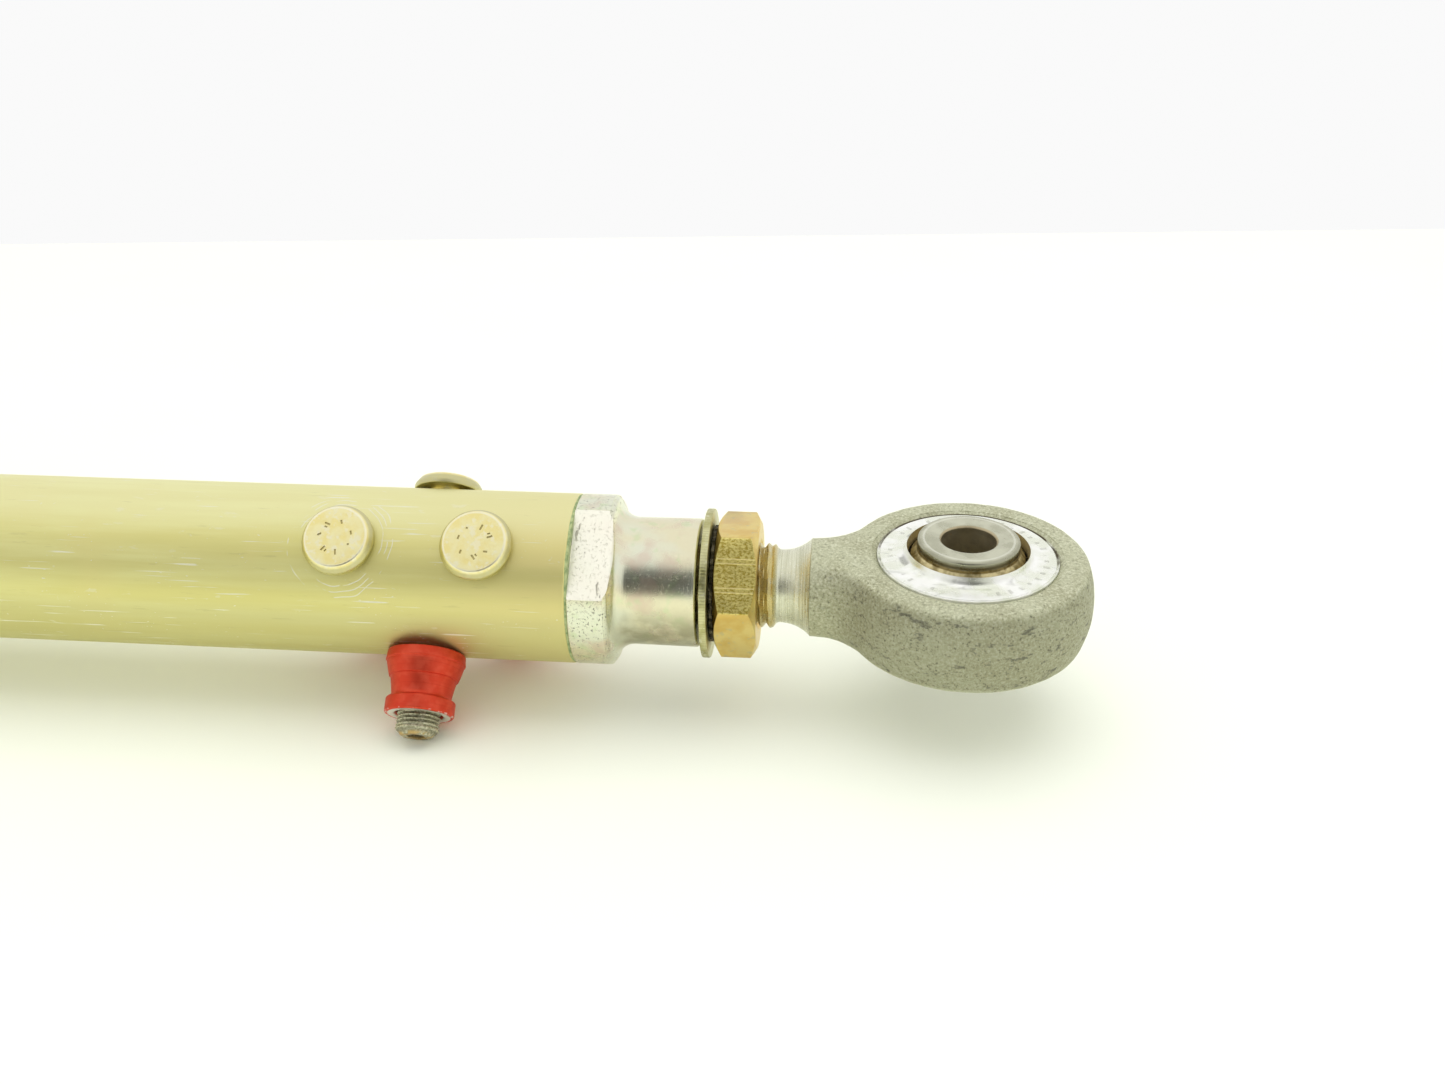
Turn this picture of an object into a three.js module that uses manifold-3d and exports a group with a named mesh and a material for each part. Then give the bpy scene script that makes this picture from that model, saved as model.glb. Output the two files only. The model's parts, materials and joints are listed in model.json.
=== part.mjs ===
// A riveted aluminium link rod with a spherical rod end bearing screwed into each end.
//
// Millimetres, +Z up. The rod lies along X on the tips of its collar pins, its middle over the origin.
// Each end is made once in its own frame, with the eye's centre at the origin and +X pointing out of
// the rod. End "a" is at +X. End "b" is its mirror image, so its thread is left-handed.
import * as THREE from "three";
import { mergeVertices } from "three/addons/utils/BufferGeometryUtils.js";
import Module from "manifold-3d";

const wasm = await Module();
wasm.setup();

// ---- Driving dimensions ----
const EYE_SPACING = 304.8; // eye centre to eye centre, 12 in
const EYE_ROLL = THREE.MathUtils.degToRad(3.5); // how far both eyes are turned about the rod's axis

const TUBE = { radius: 12.7, wall: 1.65, end: -57.4 };
const FLANGE = { back: -56.9, front: -51.9, radius: 12.7, acrossFlats: 21.4 };
const NECK = { radius: 9.5, start: -48.5, end: -38.8 };
const PLUG = { radius: 11.0, end: -99 };
const SOCKET = { radius: 6.55, end: -64.5 };
const SEALANT = { inner: 11.15, outer: 12.4 };

const WASHER = { back: -38.2, front: -37.15, outer: 11.1, inner: 6.75 };
const LOCK_RING = { back: -37.0, front: -36.5, outer: 8.7, inner: 6.75 };
const KEY = { width: 2.8, reach: 5.2 }; // the washer's inner tongue, which reaches this near the axis
const KEYWAY = { width: 3.2, floor: 4.9, end: -34.5 };
const NUT = { back: -36.35, front: -30.15, acrossFlats: 19.05, bore: 6.5, chamferRadius: 9.35 };
const NUT_TURN = THREE.MathUtils.degToRad(3.4); // its lower front corner, above the horizontal

const SHANK = { radius: 6.3, tip: -62.5, threadEnd: -28.2, undercut: 5.4 };
const FORGED_NECK = { start: -22.55, radius: 7.3 };
const EYE = { radius: 18.6, rimRadius: 17.5, halfThickness: 6.25 };
// The race's flat face rises, inside its foot, to a thin lip around the ball's neck.
const RACE = { outer: 13.1, sphere: 10.58, halfWidth: 6.3, foot: 10.1, lip: 9.15, mouth: 8.85, lipHeight: 7.7 };
const RACE_SEAT = 13.2;
const LINER = { inner: 10.32, outer: 10.5, halfWidth: 5.7 };
const BALL = { sphere: 10.15, neck: 7.37, halfWidth: 9.05, bore: 3.97, boreMouth: 4.3 };

const PIN = { radius: 3.175, head: 5.3, headTop: 4.5, headHeight: 1.9, tip: 25.3, tipRadius: 2.4 };
const PIN_SOCKET = { acrossFlats: 2.5, depth: 2.6 };
const PIN_HOLE = 3.35;
const COLLAR = { bore: 3.32, base: 5.87, waist: 4.4, ring: 5.1, seat: 12.85, ringStart: 19.9, end: 22.2 };
// Each pin's place along the rod and the side that its head is on: 135 degrees is front and up, 45 back and up.
const PINS = [
  { x: -90.45, headAngle: 135 },
  { x: -79.05, headAngle: 45 },
  { x: -70.2, headAngle: 135 },
];

// The rod stands on the edges of its pin tips, which point 45 degrees down.
const AXIS_HEIGHT = (PIN.tip + PIN.tipRadius) * Math.SQRT1_2;

const FINE = 32;
const COARSE = 20;
const SMALL = 12;
const MARGIN = 1; // how far a cutting tool runs past what it cuts

// ---- Materials ----
const metal = (color, roughness) => new THREE.MeshStandardMaterial({ color, roughness, metalness: 1 });
const MATERIALS = {
  tube: metal(0xc9c07a, 0.45),
  fitting: metal(0xc9cbbd, 0.4),
  sealant: new THREE.MeshStandardMaterial({ color: 0x86a95a, roughness: 0.7, metalness: 0 }),
  pin: metal(0xd2c48a, 0.4),
  collar: metal(0xc4372a, 0.35),
  washer: metal(0xb2ac68, 0.45),
  nut: metal(0xc79a4a, 0.4),
  forging: metal(0xa9aa92, 0.7),
  race: metal(0xdfe0d8, 0.25),
  liner: new THREE.MeshStandardMaterial({ color: 0x8a6f45, roughness: 0.8, metalness: 0 }),
  ball: metal(0xa6a296, 0.3),
};

// ---- Solids ----
// A closed geometry as a manifold-3d solid, with its faces pointing out.
function solid(geometry) {
  const bare = geometry.clone();
  bare.deleteAttribute("normal");
  bare.deleteAttribute("uv");
  const merged = mergeVertices(bare, 1e-4);
  const triangles = [];
  for (let i = 0; i < merged.index.count; i += 3) {
    const [a, b, c] = [0, 1, 2].map((k) => merged.index.getX(i + k));
    if (a !== b && b !== c && c !== a) triangles.push(a, b, c);
  }
  const build = (order) =>
    new wasm.Manifold(
      new wasm.Mesh({
        numProp: 3,
        vertProperties: new Float32Array(merged.attributes.position.array),
        triVerts: new Uint32Array(order),
      }),
    );
  const made = build(triangles);
  return made.volume() >= 0 ? made : build(triangles.toReversed());
}

function geometryOf(made) {
  const mesh = made.getMesh();
  const geometry = new THREE.BufferGeometry();
  geometry.setAttribute("position", new THREE.BufferAttribute(mesh.vertProperties, 3));
  geometry.setIndex(new THREE.BufferAttribute(mesh.triVerts, 1));
  geometry.computeVertexNormals();
  return geometry;
}

function part(name, made, material) {
  const mesh = new THREE.Mesh(geometryOf(made), material);
  mesh.name = name;
  return mesh;
}

// A solid turned about Y, from [radius, height] points. A ring's outline is closed on itself.
function turned(points, segments) {
  const outline = points.map(([r, y]) => new THREE.Vector2(r, y));
  const onAxis = points[0][0] === 0;
  return new THREE.LatheGeometry(onAxis ? outline : [...outline, outline[0]], segments);
}

// The same about X, from [x, radius] points, and about Z, from [radius, z] points.
const turnedX = (points, segments) =>
  turned(
    points.map(([x, r]) => [r, x]),
    segments,
  ).rotateZ(-Math.PI / 2);
const turnedZ = (points, segments) => turned(points, segments).rotateX(Math.PI / 2);

const box = (size, centre) => new THREE.BoxGeometry(...size).translate(...centre);
const cylinderX = (radius, from, to, segments) =>
  new THREE.CylinderGeometry(radius, radius, to - from, segments)
    .rotateZ(-Math.PI / 2)
    .translate((from + to) / 2, 0, 0);

// Points on a circle's arc as [along, out] pairs, from one angle to another in degrees.
function arc(centre, radius, from, to, steps) {
  return Array.from({ length: steps + 1 }, (_, i) => {
    const angle = THREE.MathUtils.degToRad(from + ((to - from) * i) / steps);
    return [centre[0] + radius * Math.cos(angle), centre[1] + radius * Math.sin(angle)];
  });
}

// ---- The tube and its fastenings ----
const pinAngle = (pin) => THREE.MathUtils.degToRad(pin.headAngle);

function pinHole(pin) {
  return new THREE.CylinderGeometry(PIN_HOLE, PIN_HOLE, 4 * TUBE.radius, SMALL)
    .rotateX(pinAngle(pin))
    .translate(pin.x, 0, 0);
}

function tube() {
  const half = EYE_SPACING / 2 + TUBE.end;
  const inner = TUBE.radius - TUBE.wall;
  const edge = 0.25;
  const outline = [
    [-half, inner],
    [-half, TUBE.radius - edge],
    [-half + edge, TUBE.radius],
    [half - edge, TUBE.radius],
    [half, TUBE.radius - edge],
    [half, inner],
  ];
  let made = solid(turnedX(outline, FINE));
  for (const pin of PINS) {
    const hole = pinHole(pin).translate(EYE_SPACING / 2, 0, 0);
    made = made.subtract(solid(hole)).subtract(solid(hole.clone().scale(-1, 1, 1)));
  }
  return part("tube", made, MATERIALS.tube);
}

function endFitting() {
  const fillet = new THREE.QuadraticBezierCurve(
    new THREE.Vector2(-51.4, 12.5),
    new THREE.Vector2(-50.4, NECK.radius + 0.05),
    new THREE.Vector2(NECK.start, NECK.radius),
  );
  const edge = 0.4;
  const outline = [
    [PLUG.end, 0],
    [PLUG.end, PLUG.radius - 2 * edge],
    [PLUG.end + 2 * edge, PLUG.radius],
    [FLANGE.back, PLUG.radius],
    [FLANGE.back, FLANGE.radius],
    [FLANGE.front, FLANGE.radius],
    ...fillet.getPoints(4).map((p) => [p.x, p.y]),
    [NECK.end - edge, NECK.radius],
    [NECK.end, NECK.radius - edge],
    [NECK.end, SOCKET.radius + edge],
    [NECK.end - edge, SOCKET.radius],
    [SOCKET.end, SOCKET.radius],
    [SOCKET.end, 0],
  ];
  let made = solid(turnedX(outline, FINE));
  // Two wrench flats across the flange, square to the outer pins.
  const length = NECK.end - FLANGE.back;
  for (const side of [-1, 1]) {
    const depth = FLANGE.radius - FLANGE.acrossFlats / 2 + MARGIN;
    const middle = side * (FLANGE.acrossFlats / 2 + depth / 2);
    const flat = box([length, depth, 3 * FLANGE.radius], [FLANGE.back + length / 2, middle, 0]);
    made = made.subtract(solid(flat.rotateX(pinAngle(PINS[0]))));
  }
  for (const pin of PINS) made = made.subtract(solid(pinHole(pin)));
  return part("end_fitting", made, MATERIALS.fitting);
}

// The bead of sealing compound squeezed between the tube's end and the flange.
function sealantRing() {
  const outline = [
    [TUBE.end, SEALANT.inner],
    [TUBE.end, SEALANT.outer],
    [FLANGE.back, SEALANT.outer],
    [FLANGE.back, SEALANT.inner],
  ];
  return part("sealant_ring", solid(turnedX(outline, FINE)), MATERIALS.sealant);
}

// A pin's head is up its own Y axis, and its threaded tip is down.
function fasteningPin(name) {
  const seat = TUBE.radius + 0.05;
  const chamfer = PIN.radius - PIN.tipRadius;
  const outline = [
    [0, -PIN.tip],
    [PIN.tipRadius, -PIN.tip],
    [PIN.radius, -PIN.tip + chamfer],
    [PIN.radius, seat],
    [PIN.head, seat],
    [PIN.head, seat + 0.7],
    [PIN.headTop, seat + PIN.headHeight],
    [0, seat + PIN.headHeight],
  ];
  const socketRadius = PIN_SOCKET.acrossFlats / Math.sqrt(3);
  const socket = new THREE.CylinderGeometry(socketRadius, socketRadius, 2 * PIN_SOCKET.depth, 6);
  const made = solid(turned(outline, SMALL)).subtract(solid(socket.translate(0, -PIN.tip, 0)));
  return part(name, made, MATERIALS.pin);
}

// What is left of the nut when its wrenching hexagon has sheared off: base, waist and break-off ring.
function collar(name) {
  const outline = [
    [COLLAR.bore, -COLLAR.seat],
    [COLLAR.base, -COLLAR.seat],
    [COLLAR.base, -14.9],
    [5.0, -16.4],
    [4.55, -17.8],
    [COLLAR.waist, -COLLAR.ringStart + 0.25],
    [COLLAR.ring, -COLLAR.ringStart],
    [COLLAR.ring, -COLLAR.end + 0.2],
    [COLLAR.ring - 0.2, -COLLAR.end],
    [COLLAR.bore, -COLLAR.end],
  ];
  return part(name, solid(turned(outline, SMALL)), MATERIALS.collar);
}

function fastenings() {
  return PINS.map((pin, i) => {
    const group = new THREE.Group();
    group.add(fasteningPin(`pin_${i + 1}`), collar(`collar_${i + 1}`));
    group.rotation.x = pinAngle(pin);
    group.position.x = pin.x;
    return group;
  });
}

// ---- The adjustable rod end ----
function keyWasher() {
  const outline = [
    [WASHER.back, WASHER.inner],
    [WASHER.back, WASHER.outer],
    [WASHER.front, WASHER.outer],
    [WASHER.front, WASHER.inner],
  ];
  const thickness = WASHER.front - WASHER.back;
  const length = WASHER.inner + MARGIN - KEY.reach;
  const tongue = box(
    [thickness, KEY.width, length],
    [(WASHER.back + WASHER.front) / 2, 0, -KEY.reach - length / 2],
  );
  return part("key_washer", solid(turnedX(outline, FINE)).add(solid(tongue)), MATERIALS.washer);
}

// The thin serrated ring between the washer and the nut.
function lockRing() {
  const outline = [
    [LOCK_RING.back, LOCK_RING.inner],
    [LOCK_RING.back, LOCK_RING.outer],
    [LOCK_RING.front, LOCK_RING.outer],
    [LOCK_RING.front, LOCK_RING.inner],
  ];
  return part("lock_ring", solid(turnedX(outline, COARSE)), MATERIALS.washer);
}

function jamNut() {
  const corner = NUT.acrossFlats / Math.sqrt(3);
  const chamfer = (corner - NUT.chamferRadius) * Math.tan(Math.PI / 6);
  const hexagon = cylinderX(corner, NUT.back, NUT.front, 6);
  const envelope = turnedX(
    [
      [NUT.back, 0],
      [NUT.back, NUT.chamferRadius],
      [NUT.back + chamfer, corner + 0.01],
      [NUT.front - chamfer, corner + 0.01],
      [NUT.front, NUT.chamferRadius],
      [NUT.front, 0],
    ],
    FINE,
  );
  const mouth = NUT.bore + 0.45;
  const bore = turnedX(
    [
      [NUT.back - MARGIN, 0],
      [NUT.back - MARGIN, mouth],
      [NUT.back, mouth],
      [NUT.back + 0.5, NUT.bore],
      [NUT.front - 0.5, NUT.bore],
      [NUT.front, mouth],
      [NUT.front + MARGIN, mouth],
      [NUT.front + MARGIN, 0],
    ],
    COARSE,
  );
  const made = solid(hexagon).intersect(solid(envelope)).subtract(solid(bore));
  const mesh = part("jam_nut", made, MATERIALS.nut);
  // The hexagon is made with a corner straight down, which this turns to the front.
  mesh.rotation.x = -Math.PI / 2 - NUT_TURN;
  return mesh;
}

// The plan of the forging from its neck to the eye: a concave flare on each side.
function flarePlan() {
  const join = { x: -9.5, y: 15.2 };
  const shape = new THREE.Shape();
  shape.moveTo(FORGED_NECK.start + 1.5, -6.6);
  shape.quadraticCurveTo(-16.6, -7.4, join.x, -join.y);
  shape.lineTo(join.x, join.y);
  shape.quadraticCurveTo(-16.6, 7.4, FORGED_NECK.start + 1.5, 6.6);
  shape.closePath();
  return shape;
}

function rodEndBody() {
  const { start, radius } = FORGED_NECK;
  const reliefStart = SHANK.threadEnd + 1.2;
  const rise = radius - SHANK.undercut;
  const run = start - reliefStart;
  const reliefRadius = (run * run + rise * rise) / (2 * rise);
  const sweep = THREE.MathUtils.radToDeg(Math.asin(run / reliefRadius));
  const relief = arc([reliefStart, SHANK.undercut + reliefRadius], reliefRadius, -90, -90 + sweep, 3);
  const shankOutline = [
    [SHANK.tip, 0],
    [SHANK.tip, SHANK.radius - 1],
    [SHANK.tip + 1, SHANK.radius],
    [SHANK.threadEnd, SHANK.radius],
    [SHANK.threadEnd + 0.8, SHANK.undercut],
    ...relief,
    [-13.5, radius - 0.3],
    [-13.5, 0],
  ];
  const shank = solid(turnedX(shankOutline, COARSE));

  const { halfThickness: half, rimRadius, radius: eyeRadius } = EYE;
  const rim = [-1, -0.62, 0, 0.62, 1].map((t) => [
    rimRadius + (eyeRadius - rimRadius) * (1 - t * t),
    t * (half - 0.6),
  ]);
  const eyeOutline = [[0, -half], [rimRadius - 0.8, -half], ...rim, [rimRadius - 0.8, half], [0, half]];
  const eye = solid(turnedZ(eyeOutline, FINE));

  const bevel = 1.2;
  const flare = new THREE.ExtrudeGeometry(flarePlan(), {
    depth: 2 * (half - bevel),
    bevelThickness: bevel,
    bevelSize: bevel * 0.6,
    bevelOffset: -bevel * 0.6,
    bevelSegments: 1,
    curveSegments: 4,
  }).translate(0, 0, -(half - bevel));

  const seat = turnedZ(
    [
      [0, -half - MARGIN],
      [RACE_SEAT, -half - MARGIN],
      [RACE_SEAT, half + MARGIN],
      [0, half + MARGIN],
    ],
    FINE,
  );
  const keywayLength = KEYWAY.end - SHANK.tip + MARGIN;
  const keyway = box(
    [keywayLength, KEYWAY.width, SHANK.radius],
    [KEYWAY.end - keywayLength / 2, 0, -KEYWAY.floor - SHANK.radius / 2],
  );
  const made = shank.add(eye).add(solid(flare)).subtract(solid(seat)).subtract(solid(keyway));
  return part("rod_end_body", made, MATERIALS.forging);
}

// A ring with a spherical bore, from [radius, z] points down its outside and an arc up its inside.
function sphericalRing(outside, sphere, halfWidth, segments) {
  const reach = THREE.MathUtils.radToDeg(Math.asin(halfWidth / sphere));
  return turnedZ([...outside, ...arc([0, 0], sphere, -reach, reach, 6)], segments);
}

function outerRace() {
  const { outer, halfWidth, foot, lip, mouth, lipHeight, sphere } = RACE;
  const edge = 0.3;
  const top = [
    [mouth, lipHeight],
    [lip, lipHeight],
    [(lip + foot) / 2 - 0.08, (lipHeight + halfWidth) / 2 - 0.1],
    [foot, halfWidth],
    [outer - edge, halfWidth],
    [outer, halfWidth - edge],
  ];
  const bottom = top.map(([r, z]) => [r, -z]).reverse();
  const ring = sphericalRing([...top, ...bottom], sphere, Math.sqrt(sphere ** 2 - (mouth - 0.25) ** 2), FINE);
  return part("outer_race", solid(ring), MATERIALS.race);
}

function liner() {
  const { inner, outer, halfWidth } = LINER;
  const reach = THREE.MathUtils.radToDeg(Math.asin(halfWidth / outer));
  const outside = arc([0, 0], outer, reach, -reach, 6);
  return part("liner", solid(sphericalRing(outside, inner, halfWidth, FINE)), MATERIALS.liner);
}

function ball() {
  const { sphere, neck, halfWidth, bore, boreMouth } = BALL;
  const reach = THREE.MathUtils.radToDeg(Math.acos(neck / sphere));
  const round = 0.5;
  const chamfer = boreMouth - bore;
  const outline = [
    [bore, -halfWidth + chamfer],
    [boreMouth, -halfWidth],
    [neck - round, -halfWidth],
    [neck, -halfWidth + round],
    ...arc([0, 0], sphere, -reach, reach, 8),
    [neck, halfWidth - round],
    [neck - round, halfWidth],
    [boreMouth, halfWidth],
    [bore, halfWidth - chamfer],
  ];
  return part("ball", solid(turnedZ(outline, FINE)), MATERIALS.ball);
}

function rodEnd() {
  const group = new THREE.Group();
  group.add(keyWasher(), lockRing(), rodEndBody(), outerRace(), liner(), ball());
  group.rotation.x = EYE_ROLL;
  return group;
}

// ---- Assembly ----
function rodHalf(letter, side) {
  const half = new THREE.Group();
  half.add(endFitting(), sealantRing(), ...fastenings(), jamNut(), rodEnd());
  half.traverse((node) => {
    if (node.isMesh) node.name += `_${letter}`;
  });
  half.position.set((side * EYE_SPACING) / 2, 0, 0);
  half.scale.x = side;
  return half;
}

const linkRod = new THREE.Group();
linkRod.add(tube(), rodHalf("a", 1), rodHalf("b", -1));
linkRod.position.z = AXIS_HEIGHT;

const root = new THREE.Group();
root.add(linkRod);
export default root;
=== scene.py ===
import json
import math
import random

import bmesh
import bpy
import numpy as np
from mathutils import Matrix, Vector, noise


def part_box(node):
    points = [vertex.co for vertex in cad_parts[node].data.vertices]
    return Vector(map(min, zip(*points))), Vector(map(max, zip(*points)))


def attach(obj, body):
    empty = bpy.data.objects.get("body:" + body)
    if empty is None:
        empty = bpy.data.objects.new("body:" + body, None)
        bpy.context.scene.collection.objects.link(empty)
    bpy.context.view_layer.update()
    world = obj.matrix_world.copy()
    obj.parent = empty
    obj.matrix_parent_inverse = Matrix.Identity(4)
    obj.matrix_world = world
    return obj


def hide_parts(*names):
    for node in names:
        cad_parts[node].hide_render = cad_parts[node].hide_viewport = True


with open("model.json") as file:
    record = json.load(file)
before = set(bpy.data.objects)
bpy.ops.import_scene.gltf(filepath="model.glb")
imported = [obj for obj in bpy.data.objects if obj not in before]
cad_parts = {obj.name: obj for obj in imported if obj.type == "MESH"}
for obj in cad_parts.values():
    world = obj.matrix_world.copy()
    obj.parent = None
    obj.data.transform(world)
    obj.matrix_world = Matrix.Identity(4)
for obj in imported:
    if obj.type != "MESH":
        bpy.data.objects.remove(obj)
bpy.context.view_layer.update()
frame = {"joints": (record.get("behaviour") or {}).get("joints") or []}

MM = 0.001
random.seed(11)

# ---- Sizes, in millimetres ----
EYE_ROLL = math.radians(3.5)
TUBE_RADIUS = 12.7
TUBE_WALL = 1.65
FLAT = 10.7  # a wrench flat's distance from the rod's axis
FLAT_ANGLE = math.radians(135)
NUT_CORNER = math.radians(176.6)
NUT_ACROSS_FLATS = 19.05
THREAD_PITCH = 1.27  # 1/2-20
PIN_PITCH = 0.6
PIN_ANGLES = {1: math.radians(135), 2: math.radians(45), 3: math.radians(135)}
PIN_HOLE = 3.3

BALL_JOINTS = [joint for joint in frame["joints"] if joint["name"].startswith("ball_tilt")]
EYES = {joint["name"][-1]: Vector(joint["pos_m"]) for joint in BALL_JOINTS}
SIDES = {"a": 1, "b": -1}


def span(node):
    """How far a node at end "a" reaches along the rod, from the eye's centre."""
    low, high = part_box(node)
    return (low.x - EYES["a"].x) / MM, (high.x - EYES["a"].x) / MM


PIN_PLACES = {i: sum(span(f"pin_{i}_a")) / 2 for i in PIN_ANGLES}


# ---- Shapes ----
def outline(*corners, steps=6):
    """A lathe profile of (radius, height, rounding) corners. A rounding of 0 is a sharp corner."""
    points = []
    for i, (radius, height, rounding) in enumerate(corners):
        here = Vector((radius, height))
        if not rounding:
            points.append(here)
            continue
        before = Vector(corners[i - 1][:2]) - here
        after = Vector(corners[(i + 1) % len(corners)][:2]) - here
        reach = min(rounding, 0.49 * before.length, 0.49 * after.length)
        start, end = here + before.normalized() * reach, here + after.normalized() * reach
        for k in range(steps + 1):
            t = k / steps
            points.append(start * (1 - t) ** 2 + here * 2 * t * (1 - t) + end * t * t)
    return points


def arc(centre, radius, start, end, steps):
    """Points on a circle's arc from one angle to another, in degrees."""
    x, y = centre
    angles = [math.radians(start + (end - start) * k / steps) for k in range(steps + 1)]
    return [Vector((x + radius * math.cos(a), y + radius * math.sin(a))) for a in angles]


def ladder(radius, start, end, step):
    """A straight stretch of profile with a point at every step."""
    count = max(1, round(abs(end - start) / step))
    return [Vector((radius, start + (end - start) * k / count)) for k in range(count + 1)]


def mesh_from(vertices, faces):
    """A mesh with its doubled vertices merged and every face turned outwards."""
    mesh = bpy.data.meshes.new("piece")
    mesh.from_pydata(vertices, [], faces)
    work = bmesh.new()
    work.from_mesh(mesh)
    bmesh.ops.remove_doubles(work, verts=work.verts, dist=1e-4)
    bmesh.ops.recalc_face_normals(work, faces=work.faces)
    work.to_mesh(mesh)
    work.free()
    return mesh


def revolve(points, segments=128, shape=None):
    """A solid turned about Z. Its profile is closed on itself, or starts and ends on the axis.
    shape(radius, height, angle) may move each point."""
    vertices, rings = [], []
    for radius, height in points:
        if radius < 1e-6:
            rings.append([len(vertices)] * segments)
            vertices.append((0, 0, height))
            continue
        rings.append(list(range(len(vertices), len(vertices) + segments)))
        for k in range(segments):
            angle = 2 * math.pi * k / segments
            r, z = shape(radius, height, angle) if shape else (radius, height)
            vertices.append((r * math.cos(angle), r * math.sin(angle), z))
    if points[0][0] >= 1e-6:
        rings.append(rings[0])
    faces = []
    for low, high in zip(rings, rings[1:]):
        for k in range(segments):
            m = (k + 1) % segments
            corners = tuple(dict.fromkeys((low[k], low[m], high[m], high[k])))
            if len(corners) > 2:
                faces.append(corners)
    return mesh_from(vertices, faces)


def extrude(plan, low, high):
    """A flat plan of (x, y) points raised from one height to another."""
    n = len(plan)
    vertices = [(x, y, z) for z in (low, high) for x, y in plan]
    sides = [(k, (k + 1) % n, n + (k + 1) % n, n + k) for k in range(n)]
    return mesh_from(vertices, [tuple(range(n)), tuple(range(n, 2 * n)), *sides])


def block(size, centre, turn=0.0):
    """A box, turned about Z in place."""
    made = bmesh.new()
    bmesh.ops.create_cube(made, size=1, matrix=Matrix.Diagonal((*size, 1)))
    made.transform(Matrix.Translation(centre) @ Matrix.Rotation(turn, 4, "Z"))
    mesh = bpy.data.meshes.new("piece")
    made.to_mesh(mesh)
    made.free()
    return mesh


def moved(mesh, matrix):
    mesh.transform(matrix)
    return mesh


def joined(*meshes):
    """Several meshes as one, without cutting them."""
    work = bmesh.new()
    for mesh in meshes:
        work.from_mesh(mesh)
    made = bpy.data.meshes.new("piece")
    work.to_mesh(made)
    work.free()
    return made


def applied(mesh, *modifiers):
    """The mesh after some modifiers, each given as (type, settings)."""
    holder = bpy.data.objects.new("holder", mesh)
    bpy.context.scene.collection.objects.link(holder)
    for kind, settings in modifiers:
        modifier = holder.modifiers.new(kind, kind)
        for key, value in settings.items():
            setattr(modifier, key, value)
    ready = holder.evaluated_get(bpy.context.evaluated_depsgraph_get())
    made = bpy.data.meshes.new_from_object(ready)
    bpy.data.objects.remove(holder)
    return made


def combined(mesh, tool, operation):
    """A boolean DIFFERENCE, UNION or INTERSECT of two closed meshes."""
    cutter = bpy.data.objects.new("cutter", tool)
    bpy.context.scene.collection.objects.link(cutter)
    settings = {"operation": operation, "solver": "EXACT", "object": cutter}
    made = applied(mesh, ("BOOLEAN", settings))
    bpy.data.objects.remove(cutter)
    return made


def thread(major, pitch, start, end, depth):
    """A right-hand V thread for revolve(), cut between two heights and faded out at both."""

    def shape(radius, height, angle):
        if radius < major - 0.02 or not start < height < end:
            return radius, height
        fade = min(1, (height - start) / pitch, (end - height) / pitch)
        turn = (height / pitch - angle / (2 * math.pi)) % 1
        groove = min(1, max(0, 1.3 * (1 - abs(2 * turn - 1)) - 0.15))
        return radius - depth * fade * groove, height

    return shape


ROD_AXIS = Matrix(((0, 0, 1, 0), (1, 0, 0, 0), (0, 1, 0, 0), (0, 0, 0, 1)))  # Z goes to the rod's X


def pin_axis(number):
    """Z goes to the direction of a pin's head, and X stays along the rod."""
    angle = PIN_ANGLES[number]
    head = Vector((0, math.cos(angle), math.sin(angle)))
    along = Vector((1, 0, 0))
    axes = Matrix((along, head.cross(along), head)).transposed().to_4x4()
    return Matrix.Translation((PIN_PLACES[number], 0, 0)) @ axes


# ---- The pieces, each about its own Z ----
def pin_drills(numbers, radius):
    """The pins' holes, in the end's frame."""
    reach = 30
    drill = [(0, -reach), (radius, -reach), (radius, reach), (0, reach)]
    return [moved(revolve(drill, 48), pin_axis(i)) for i in numbers]


def tube():
    half = EYES["a"].x / MM + span("tube")[1] + 0.2  # the sealant squeezes out of what is left
    inner = TUBE_RADIUS - TUBE_WALL
    wall = outline(
        (inner, -half, 0.15),
        (TUBE_RADIUS, -half, 0.3),
        (TUBE_RADIUS, half, 0.3),
        (inner, half, 0.15),
    )
    mesh = revolve(wall, 192)
    for side in SIDES.values():
        to_tube = ROD_AXIS.inverted() @ Matrix.Diagonal((side, 1, 1, 1))
        to_tube = to_tube @ Matrix.Translation((EYES["a"].x / MM, 0, 0))
        drills = joined(*pin_drills(PIN_ANGLES, PIN_HOLE))
        drills = moved(drills, to_tube)
        if side < 0:
            drills.flip_normals()
        mesh = combined(mesh, drills, "DIFFERENCE")
    return mesh


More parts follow.
